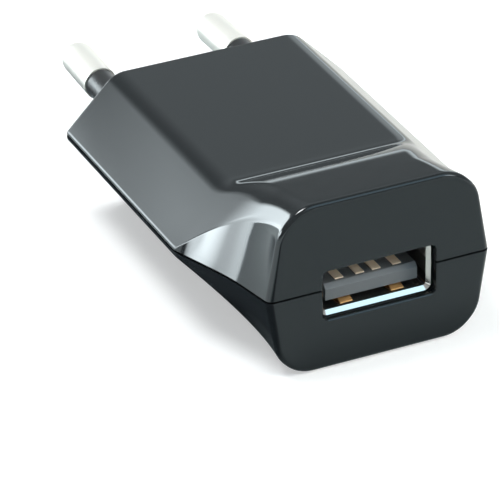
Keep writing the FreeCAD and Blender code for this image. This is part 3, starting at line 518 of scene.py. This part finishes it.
def shell(name, half):
    """One moulded shell: its skin, less its cavity, the groove, the port and the recess."""
    angles = [math.pi / 2 * i / 10 for i in range(1, 11)]
    skin = [(0, REAR_BREAK), (REAR_BREAK * 0.3, REAR_BREAK * 0.3), (REAR_BREAK, 0)]
    skin += [(depth, 0) for depth in stations(LENGTH - FRONT_ROUND, SKIN_PITCH)]
    for angle in angles:
        depth = LENGTH - FRONT_ROUND * (1 - math.sin(angle))
        skin.append((depth, FRONT_ROUND * (1 - math.cos(angle))))
    piece = solid_from_sections(name, half, skin)
    inside = [REAR_WALL] + stations(LENGTH - FRONT_WALL, CAVITY_PITCH)
    cavity = solid_from_sections("cavity", half, [(depth, WALL) for depth in inside])
    cavity.data.transform(Matrix.Translation((0, 0, -half["side"] * HALF_OVERLAP * MM)))
    cut(piece, cavity)
    if half["side"] > 0:
        cut(piece, groove_ring())
    port, mouth = port_outline(0), port_outline(PORT_BREAK)
    cut(piece, slab("port", port, *PORT_CUT))
    cut(piece, slab("port_edge", port, LENGTH - 0.1, LENGTH + 0.2, mouth))
    cut(piece, slab("recess", recess_outline(), *RECESS_CUT))
    pick(piece)
    bpy.ops.object.shade_smooth_by_angle(angle=SMOOTH_UNDER)
    weigh = piece.modifiers.new("flat_faces", "WEIGHTED_NORMAL")
    weigh.keep_sharp = True
    bpy.ops.object.modifier_apply(modifier=weigh.name)
    return piece


gloss = Finish("glossy_black_polycarbonate")
rear = gloss.axis("Y").ramped(-0.00045, -0.0003)
grain = gloss.noise(2600, 3)
sway = gloss.noise(70, 1)
gloss.set(
    Base_Color=gloss.mix(rear, (0.010, 0.012, 0.013), (0.024, 0.023, 0.022)),
    Roughness=gloss.noise(500, 3) * 0.03 + 0.055 + rear * 0.33,
    IOR=1.52,
)
gloss.bump(sway * 0.6 + grain * (rear * 0.1 + 0.002), 0.35, 0.0001)
for shell_name, cad_name, half in (
    ("upper_shell", "upper_housing", UPPER),
    ("lower_shell", "lower_housing", LOWER),
):
    housing = shell(shell_name, half)
    housing.data.materials.clear()
    housing.data.materials.append(gloss.material)
    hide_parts(cad_name)
    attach(housing, "root")


# ---- Plug insert and sleeves -----------------------------------------------------------------
# A satin black moulding that the shells trap, with a collar round each pin. The sleeves are
# moulded on the pins in the same plastic, so that no bare metal shows near the plug face.
def clad(names, finish):
    """Gives a finish to pieces that come from the CAD model as they are."""
    for name in names:
        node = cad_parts[name]
        node.data.materials.clear()
        node.data.materials.append(finish.material)


satin = Finish("satin_black_moulding")
streak = satin.noise(900, 3, stretch=(0.15, 1, 1))
satin.set(Base_Color=(0.02, 0.02, 0.021), Roughness=streak * 0.2 + 0.2)
satin.bump(streak, 0.3, 0.00005)
clad(["plug_insert", "pin_sleeve_left", "pin_sleeve_right"], satin)

# ---- Pins ------------------------------------------------------------------------------------
# Two round pins turned from brass and nickel plated, with the fine marks of the lathe round
# them. The insert holds them, so that they lean slightly towards each other.
nickel = Finish("bright_nickel")
marks = nickel.noise(300, 2, stretch=(0.2, 6, 0.2))
nickel.set(Base_Color=(0.86, 0.83, 0.77), Metallic=0.6, Roughness=marks * 0.15 + 0.34)
nickel.bump(marks, 0.2, 0.00003)
clad(["pin_left", "pin_right"], nickel)

# ---- USB socket ------------------------------------------------------------------------------
# A shell folded from nickel plated steel, with a flared mouth and bronze springs in its floor. A
# black plastic tongue is moulded in it and carries four gold plated contacts.
SOCKET_REAR, MOUTH = 31.8, 44.4
SOCKET_WIDTH, SOCKET_HEIGHT, SOCKET_CORNER, SHEET = 12.5, 5.12, 0.4, 0.3
FLARE, FLARE_RUN, ROLLED_EDGE, EDGE_RUN = 0.42, 0.6, 0.08, 0.1
SPRING_X, SPRING_FRONT, SPRING_LENGTH, SPRING_WIDTH = (-3.1, 3.1), 43.4, 3.6, 1.5
SPRING_SHEET, SPRING_GAP, SPRING_RISE, SPRING_PARTS = 0.1, 0.06, 0.4, 8
SOCKET_FLOOR = PORT_Z - SOCKET_HEIGHT / 2
SOCKET_SMOOTH_UNDER = math.radians(40)


def settle(piece):
    """Moves a piece's place, turn and size into its mesh."""
    pick(piece)
    bpy.ops.object.transform_apply(location=True, rotation=True, scale=True)


def choose(piece, kind, wanted):
    """Opens a piece in edit mode, with only the wanted vertices or edges selected."""
    pick(piece)
    bpy.ops.object.mode_set(mode="EDIT")
    bpy.ops.mesh.select_mode(type=kind)
    bpy.ops.mesh.select_all(action="DESELECT")
    shape = bmesh.from_edit_mesh(piece.data)
    for part in shape.verts if kind == "VERT" else shape.edges:
        part.select_set(wanted(part))
    shape.select_flush_mode()
    bmesh.update_edit_mesh(piece.data)


def chosen(piece):
    """The numbers of the vertices that are selected in edit mode."""
    shape = bmesh.from_edit_mesh(piece.data)
    shape.verts.index_update()
    return {vertex.index for vertex in shape.verts if vertex.select}


def finished(piece, name, finish):
    """A new piece with its name, its finish and its place on the charger."""
    pick(piece)
    piece.name = name
    piece.data.materials.append(finish.material)
    bpy.ops.object.shade_smooth_by_angle(angle=SOCKET_SMOOTH_UNDER)
    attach(piece, "root")


# The outline of the shell's rear end is drawn forward and out, round the mouth, and back inside.
# Each of its corners grows and shrinks about a centre that stays where it is.
socket_rings = [
    (SOCKET_REAR, SHEET),
    (MOUTH - FLARE_RUN, SHEET),
    (MOUTH - EDGE_RUN, FLARE + ROLLED_EDGE),
    (MOUTH, FLARE),
    (MOUTH - FLARE, 0.0),
    (SOCKET_REAR, 0.0),
]
rear_middle = Vector((0, -SOCKET_REAR, PORT_Z)) * MM
rear_size = ((SOCKET_WIDTH + 2 * SHEET) * MM, 1, (SOCKET_HEIGHT + 2 * SHEET) * MM)
deselect()
bpy.ops.mesh.primitive_plane_add(size=1, location=rear_middle, rotation=(math.pi / 2, 0, 0))
socket = bpy.context.object
settle(socket)
choose(socket, "VERT", lambda vertex: True)
bpy.ops.transform.resize(value=rear_size, center_override=rear_middle)
corner = (SOCKET_CORNER + SHEET) * MM
bpy.ops.mesh.bevel(offset=corner, segments=8, profile=0.5, affect="VERTICES", clamp_overlap=False)
bpy.ops.mesh.select_all(action="SELECT")
bpy.ops.mesh.delete(type="ONLY_FACE")
bpy.ops.mesh.select_all(action="SELECT")
corner_x, corner_z = SOCKET_WIDTH / 2 - SOCKET_CORNER, SOCKET_HEIGHT / 2 - SOCKET_CORNER
for (depth, extra), (next_depth, next_extra) in zip(socket_rings, socket_rings[1:]):
    forward = {"value": (0, (depth - next_depth) * MM, 0)}
    bpy.ops.mesh.extrude_region_move(TRANSFORM_OT_translate=forward)
    ring = chosen(socket)
    growth = (SOCKET_CORNER + next_extra) / (SOCKET_CORNER + extra)
    for x, z in itertools.product((-corner_x, corner_x), (-corner_z, corner_z)):
        centre = Vector((x, -next_depth, PORT_Z + z)) * MM
        choose(
            socket,
            "VERT",
            lambda vertex: vertex.index in ring
            and vertex.co.x * x > 0
            and (vertex.co.z - rear_middle.z) * z > 0,
        )
        bpy.ops.transform.resize(value=(growth, 1, growth), center_override=centre)
    choose(socket, "VERT", lambda vertex: vertex.index in ring)
choose(socket, "VERT", lambda vertex: abs(vertex.co.y - rear_middle.y) < 0.01 * MM)
bpy.ops.mesh.bridge_edge_loops()
outward(socket)
steel = Finish("plated_steel")
steel.set(Base_Color=(0.8, 0.74, 0.68), Metallic=1.0, Roughness=steel.noise(400, 2) * 0.1 + 0.12)
finished(socket, "socket_shell", steel)
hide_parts("usb_shell")

# Each spring is a strip of sheet that is bent into a low arch.
deselect()
bpy.ops.mesh.primitive_cube_add(size=1)
spring = bpy.context.object
spring.scale = Vector((SPRING_WIDTH, SPRING_LENGTH, SPRING_SHEET)) * MM
spring_middle = SPRING_FRONT - SPRING_LENGTH / 2
spring_top = SOCKET_FLOOR + SPRING_GAP
spring.location = Vector((SPRING_X[0], -spring_middle, spring_top - SPRING_SHEET / 2)) * MM
settle(spring)
choose(spring, "EDGE", lambda edge: abs(edge.verts[0].co.y - edge.verts[1].co.y) > MM)
bpy.ops.mesh.subdivide(number_cuts=SPRING_PARTS - 1)
for i in range(1, SPRING_PARTS):
    row = -(SPRING_FRONT - SPRING_LENGTH * i / SPRING_PARTS) * MM
    rise = SPRING_RISE * math.sin(math.pi * i / SPRING_PARTS) * MM
    choose(spring, "VERT", lambda vertex: abs(vertex.co.y - row) < 0.01 * MM)
    bpy.ops.transform.translate(value=(0, 0, rise))
outward(spring)
other_spring = spring.copy()
other_spring.data = spring.data.copy()
scene.collection.objects.link(other_spring)
other_spring.data.transform(Matrix.Translation(((SPRING_X[1] - SPRING_X[0]) * MM, 0, 0)))
pick(spring)
other_spring.select_set(True)
bpy.ops.object.join()
bronze = Finish("phosphor_bronze")
bronze.set(Base_Color=(0.9, 0.5, 0.2), Metallic=0.7, Roughness=bronze.noise(900, 2) * 0.1 + 0.3)
finished(spring, "socket_springs", bronze)

tongue = Finish("black_tongue")
tongue.set(Base_Color=(0.14, 0.145, 0.15), Roughness=tongue.noise(1500, 2) * 0.1 + 0.3)
clad(["usb_insulator"], tongue)
gold = Finish("gold_plating")
gold.set(Base_Color=(1.0, 0.78, 0.58), Metallic=0.0, Roughness=gold.noise(1500, 2) * 0.2 + 0.4)
clad(["usb_contacts"], gold)

# ---- Contact strips --------------------------------------------------------------------------
# Two bent strips of tinned brass that carry the mains from the pins to the board. Each is
# soldered to the board by its foot.
def mottled(name, first, second, scale, rough, metallic=0.0):
    """A finish whose colour and roughness drift a little over the piece."""
    made = Finish(name)
    drift = made.noise(scale, 3)
    colour = made.mix(drift, first, second)
    made.set(Base_Color=colour, Metallic=metallic, Roughness=drift * 0.15 + rough)
    made.bump(drift, 0.2, 0.00005)
    return made


tinned = mottled("tinned_brass", (0.72, 0.7, 0.66), (0.8, 0.72, 0.55), 600, 0.25, 1.0)
clad(["contact_strip_left", "contact_strip_right"], tinned)

# ---- Circuit board ---------------------------------------------------------------------------
# A glass-fibre board with a green mask, a faint weave and darker copper tracks under the mask. It
# lies on posts in the lower shell, and carries the socket and all that follows.
mask = Finish("green_solder_mask")
cells = {"feature": "DISTANCE_TO_EDGE"}
tracks = mask.node("ShaderNodeTexVoronoi", cells, Vector=mask.place, Scale=260).ramped(0.06, 0.09)
weave = mask.node("ShaderNodeTexChecker", None, mask.place, (0, 0, 0), (1, 1, 1), 2500, out=1)
mask.set(
    Base_Color=mask.mix(tracks, (0.02, 0.16, 0.06), (0.03, 0.24, 0.09)),
    Roughness=mask.noise(800, 2) * 0.1 + 0.3,
)
mask.bump(tracks + weave * 0.2, 0.3, 0.00003)
clad(["circuit_board"], mask)

# ---- Transformer -----------------------------------------------------------------------------
# Two halves of dark ferrite round a black moulded bobbin. The coil is wrapped in yellow film, and
# a band of the same film holds the halves together.
ferrite = mottled("sintered_ferrite", (0.05, 0.048, 0.048), (0.09, 0.085, 0.085), 1500, 0.5)
clad(["transformer_core", "input_choke"], ferrite)
bobbin = mottled("black_bobbin", (0.02, 0.02, 0.02), (0.03, 0.03, 0.03), 900, 0.4)
clad(["transformer_bobbin"], bobbin)
film = Finish("yellow_film")
wraps = (film.axis("Z") * 9000).sin()
film.set(
    Base_Color=film.mix(film.noise(300, 2), (0.75, 0.52, 0.05), (0.85, 0.66, 0.1)),
    Roughness=film.noise(500, 2) * 0.1 + 0.2,
)
film.bump(wraps, 0.15, 0.00004)
clad(["transformer_winding", "transformer_tape"], film)

# ---- Capacitors ------------------------------------------------------------------------------
# Aluminium cans in shrunk plastic sleeves, of which a pair lie along the sides, and a ceramic
# disc dipped in blue lacquer. All are soldered to the board.
sleeve = Finish("dark_blue_sleeve")
stripe = (sleeve.axis("X") * 1000).absolute().ramped(9.6, 9.7)
sleeve.set(
    Base_Color=sleeve.mix(stripe, (0.012, 0.016, 0.07), (0.35, 0.36, 0.4)),
    Roughness=sleeve.noise(400, 2) * 0.1 + 0.2,
)
clad(["bulk_capacitor_left", "bulk_capacitor_right", "output_capacitor"], sleeve)
clad(["y_capacitor"], mottled("blue_lacquer", (0.03, 0.14, 0.42), (0.05, 0.2, 0.5), 500, 0.25))

# ---- Resistor, diodes and chips --------------------------------------------------------------
# A lacquered resistor, parts moulded in black epoxy and small ceramic chips, all soldered to the
# board. The choke is a drum of the same ferrite as the transformer's core.
clad(["fusible_resistor"], mottled("green_lacquer", (0.2, 0.36, 0.24), (0.3, 0.46, 0.33), 700, 0.4))
epoxy = mottled("black_epoxy", (0.015, 0.015, 0.016), (0.03, 0.03, 0.031), 1800, 0.45)
clad(["bridge_rectifier", "controller_ic", "output_diode", "switching_transistor"], epoxy)
clad(["smd_chips"], mottled("pale_ceramic", (0.3, 0.24, 0.17), (0.42, 0.35, 0.27), 1200, 0.4))
